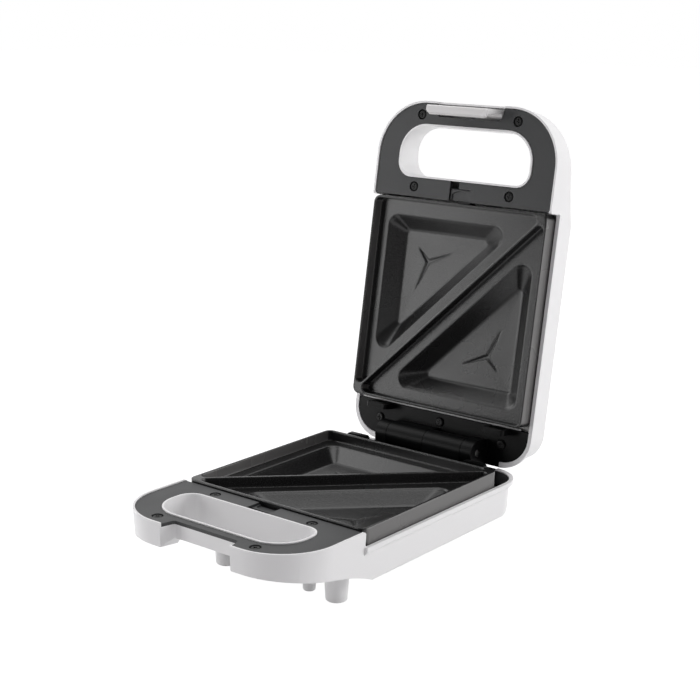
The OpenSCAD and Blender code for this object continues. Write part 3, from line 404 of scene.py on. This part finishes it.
def make_smoothing():
    """Geometry nodes that shade a mesh smooth, apart from its sharp edges."""
    group = bpy.data.node_groups.new("smooth_but_sharp_edges", "GeometryNodeTree")
    for way in ("INPUT", "OUTPUT"):
        group.interface.new_socket("Geometry", in_out=way, socket_type="NodeSocketGeometry")
    given = group.nodes.new("NodeGroupInput").outputs[0]
    plain = add_node(
        group, "GeometryNodeRemoveAttribute", {"Geometry": given, "Name": "custom_normal"}
    )
    angle = add_node(group, "GeometryNodeInputMeshEdgeAngle")
    soft = add_node(
        group, "FunctionNodeCompare", {0: angle.outputs[0], 1: SHARP_ANGLE}, operation="LESS_THAN"
    )
    faces = add_node(
        group, "GeometryNodeSetShadeSmooth", {"Geometry": plain.outputs[0]}, domain="FACE"
    )
    edges = add_node(
        group,
        "GeometryNodeSetShadeSmooth",
        {"Geometry": faces.outputs[0], "Shade Smooth": soft.outputs[0]},
        domain="EDGE",
    )
    add_node(group, "NodeGroupOutput", {0: edges.outputs[0]})
    return group


SMOOTHING = make_smoothing()


def soften(piece, width):
    """Welds the CAD faces, rounds the edges and shades them smooth."""
    weld = piece.modifiers.new("weld", "WELD")
    weld.merge_threshold = WELD_GAP
    if width:
        bevel = piece.modifiers.new("edge_round", "BEVEL")
        bevel.limit_method = "ANGLE"
        bevel.angle_limit = SHARP_ANGLE
        bevel.width = width * MM
        bevel.segments = ROUND_SEGMENTS
    smooth = piece.modifiers.new("smooth", "NODES")
    smooth.node_group = SMOOTHING
    even = piece.modifiers.new("flat_faces_stay_flat", "WEIGHTED_NORMAL")
    even.keep_sharp = True
    even.weight = BIG_FACES_WEIGHT


def dress_cad():
    """Gives each CAD node its finish and its softened edges."""
    slot_of = {part["node"]: part["material_slot"] for part in frame["record"]["subparts"]}
    for name, piece in cad.items():
        slot = slot_of[name]
        for place in piece.material_slots:
            place.material = FINISHES[slot]
        soften(piece, EDGE_ROUND.get(slot, 0.0))


# Room light, and what gloss mirrors: a dim room in front and a white backdrop behind
WHITE = grey(1.0)
ROOM_COLOUR = (0.985, 0.95, 1.0, 1.0)
ROOM_LEVEL = 0.31
DIM_LEVEL = 0.10
BACKDROP_WAY = (-0.6, 0.77, 0.2)
BACKDROP_STARTS = -0.25
BACKDROP_FULL = 0.45

# The floor, as the object's light sees it and as the camera sees it
FLOOR_HALF = 6.0
FLOOR_TONE = 0.75
SEEN_FLOOR_TONE = 0.30
SEEN_FLOOR_GLOW = 0.92

LAMP_TARGET = Vector((0, 0, 0.1))


def area_light(name, place, size, power):
    """A soft box that faces the object."""
    data = bpy.data.lights.new(name, "AREA")
    data.shape = "RECTANGLE"
    data.size, data.size_y = size
    data.energy = power
    light = bpy.data.objects.new(name, data)
    bpy.context.scene.collection.objects.link(light)
    light.location = place
    light.rotation_euler = (LAMP_TARGET - Vector(place)).to_track_quat("-Z", "Y").to_euler()


def any_ray(tree, *kinds):
    """1 for rays of any of the named kinds."""
    rays = add_node(tree, "ShaderNodeLightPath")
    found = rays.outputs[kinds[0]]
    for kind in kinds[1:]:
        found = calculate(tree, "MAXIMUM", found, rays.outputs[kind])
    return found


def mix_shaders(tree, share, first, second):
    """The first shader where share is 0, the second where it is 1."""
    return add_node(tree, "ShaderNodeMixShader", {0: share, 1: first, 2: second}).outputs[0]


def backdrop(tree, colour, level):
    """An evenly lit surrounding of one colour."""
    inputs = {"Color": colour, "Strength": level}
    return add_node(tree, "ShaderNodeBackground", inputs).outputs[0]


def backdrop_side(tree):
    """1 towards the white backdrop behind the object, 0 towards the darker room in front."""
    way = add_node(tree, "ShaderNodeTexCoord").outputs["Generated"]
    facing = dot_product(tree, way, BACKDROP_WAY)
    return map_range(tree, facing, 0.0, 1.0, BACKDROP_STARTS, BACKDROP_FULL)


def add_world():
    """Soft even room light, a white backdrop, and a dim camera side that only gloss mirrors."""
    world = bpy.data.worlds.new("studio")
    bpy.context.scene.world = world
    world.use_nodes = True
    tree = world.node_tree
    tree.nodes.clear()
    room = backdrop(tree, ROOM_COLOUR, ROOM_LEVEL)
    white = backdrop(tree, WHITE, 1.0)
    dim = backdrop(tree, WHITE, DIM_LEVEL)
    mirrored = mix_shaders(tree, backdrop_side(tree), dim, white)
    lighting = mix_shaders(tree, any_ray(tree, "Is Glossy Ray"), room, mirrored)
    seen = any_ray(tree, "Is Camera Ray", "Is Transmission Ray")
    add_node(tree, "ShaderNodeOutputWorld", {0: mix_shaders(tree, seen, lighting, white)})


def floor_finish():
    """Pale floor that shows as white with a faint shadow."""
    material = bpy.data.materials.new("studio_floor")
    material.use_nodes = True
    tree = material.node_tree
    tree.nodes.clear()
    lit = add_node(tree, "ShaderNodeBsdfDiffuse", {"Color": grey(FLOOR_TONE)}).outputs[0]
    faint = add_node(tree, "ShaderNodeBsdfDiffuse", {"Color": grey(SEEN_FLOOR_TONE)}).outputs[0]
    glow = add_node(
        tree, "ShaderNodeEmission", {"Color": WHITE, "Strength": SEEN_FLOOR_GLOW}
    ).outputs[0]
    seen = add_node(tree, "ShaderNodeAddShader", {0: faint, 1: glow}).outputs[0]
    rays = any_ray(tree, "Is Camera Ray", "Is Transmission Ray", "Is Glossy Ray")
    add_node(tree, "ShaderNodeOutputMaterial", {0: mix_shaders(tree, rays, lit, seen)})
    return material


def add_floor():
    """A wide flat floor under the feet."""
    half = FLOOR_HALF
    mesh = bpy.data.meshes.new("floor")
    corners = [(-half, -half, 0), (half, -half, 0), (half, half, 0), (-half, half, 0)]
    mesh.from_pydata(corners, [], [(0, 1, 2, 3)])
    mesh.materials.append(floor_finish())
    floor = bpy.data.objects.new("floor", mesh)
    bpy.context.scene.collection.objects.link(floor)


def add_studio():
    """The world, the floor and four soft boxes, in metres and watts."""
    add_world()
    add_floor()
    area_light("right_box", place=(1.15, 0.68, 0.4), size=(0.9, 0.76), power=9.4)
    area_light("left_box", place=(-0.87, -0.93, 0.22), size=(0.5, 0.6), power=3.6)
    area_light("side_box", place=(-1.0, -0.2, 0.75), size=(0.7, 1.0), power=5.4)
    area_light("top_box", place=(0.1, 0.1, 1.5), size=(1.0, 1.0), power=6.5)


add_camera()
dress_cad()
add_studio()

bpy.context.scene.view_settings.view_transform = "Standard"
